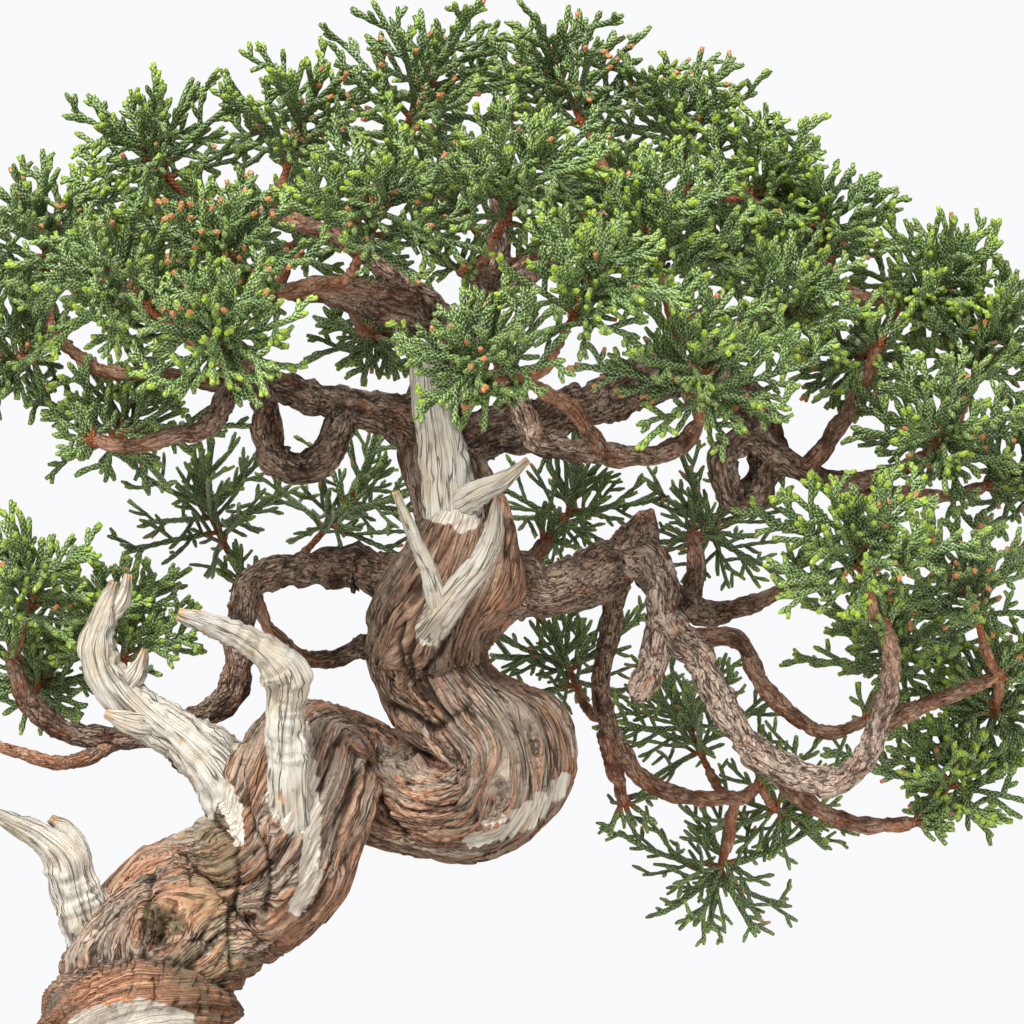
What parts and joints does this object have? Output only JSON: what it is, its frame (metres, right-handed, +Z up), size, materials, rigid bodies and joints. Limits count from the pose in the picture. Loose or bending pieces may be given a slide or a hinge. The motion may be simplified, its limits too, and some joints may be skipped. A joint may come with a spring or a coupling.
{
  "type": "potted juniper bonsai",
  "caption": "Old twisted juniper bonsai with bleached deadwood and scale-leaf foliage, growing from soil in a plain unglazed clay tray with drain holes.",
  "frame": {"origin": "centre of the part's box in plan, on the surface that the pot's feet stand on", "axes": "+Z up, +X along the pot's long side towards the low hanging branches, -Y towards the viewer of the tree's front"},
  "size_m": [0.2518, 0.1408, 0.3022],
  "materials": {
    "bark": "fibrous flaking bark, matte",
    "deadwood": "bleached weathered grain, matte",
    "foliage": "living scale leaves, soft sheen",
    "clay": "unglazed, fine grained",
    "soil": "granules of baked clay and grit, matte",
    "screen": "moulded mesh, matte"
  },
  "bodies": {
    "root": {"pot": "clay", "drain_screen_left": "screen", "drain_screen_right": "screen", "soil": "soil", "trunk_and_branches": "bark", "jin_low_left": "deadwood", "jin_left_long": "deadwood", "jin_left_bent": "deadwood", "jin_crown": "deadwood", "jin_centre_fork": "deadwood", "foliage_top_left_end": "foliage", "foliage_top_left": "foliage", "foliage_top_left_mid": "foliage", "foliage_top_centre": "foliage", "foliage_top_right_mid": "foliage", "foliage_top_right": "foliage", "foliage_top_right_end": "foliage", "foliage_front_left_end": "foliage", "foliage_front_left": "foliage", "foliage_front_left_mid": "foliage", "foliage_front_right_mid": "foliage", "foliage_front_right": "foliage", "foliage_near_left": "foliage", "foliage_near_centre": "foliage", "foliage_near_centre_high": "foliage", "foliage_near_right": "foliage", "foliage_left_mid": "foliage", "foliage_left_under": "foliage", "foliage_left_inner": "foliage", "foliage_rear_left": "foliage", "foliage_rear_left_mid": "foliage", "foliage_rear_centre": "foliage", "foliage_rear_right_mid": "foliage", "foliage_rear_right": "foliage", "foliage_rear_low_left": "foliage", "foliage_right_shoulder": "foliage", "foliage_right_outer": "foliage", "foliage_right_end": "foliage", "foliage_right_inner": "foliage", "foliage_right_front": "foliage", "foliage_right_low_front": "foliage", "foliage_right_low_end": "foliage", "foliage_skirt_front": "foliage", "foliage_skirt_mid": "foliage", "foliage_skirt_rear": "foliage", "foliage_skirt_end": "foliage", "foliage_skirt_low": "foliage", "foliage_hanging_left": "foliage", "foliage_hanging_mid": "foliage", "foliage_hanging_low": "foliage", "foliage_hanging_right": "foliage", "foliage_behind_left": "foliage", "foliage_behind_left_mid": "foliage", "foliage_behind_right": "foliage", "foliage_behind_right_end": "foliage", "foliage_low_left_end": "foliage", "foliage_low_left": "foliage", "foliage_low_left_under": "foliage"}
  },
  "joints": []
}
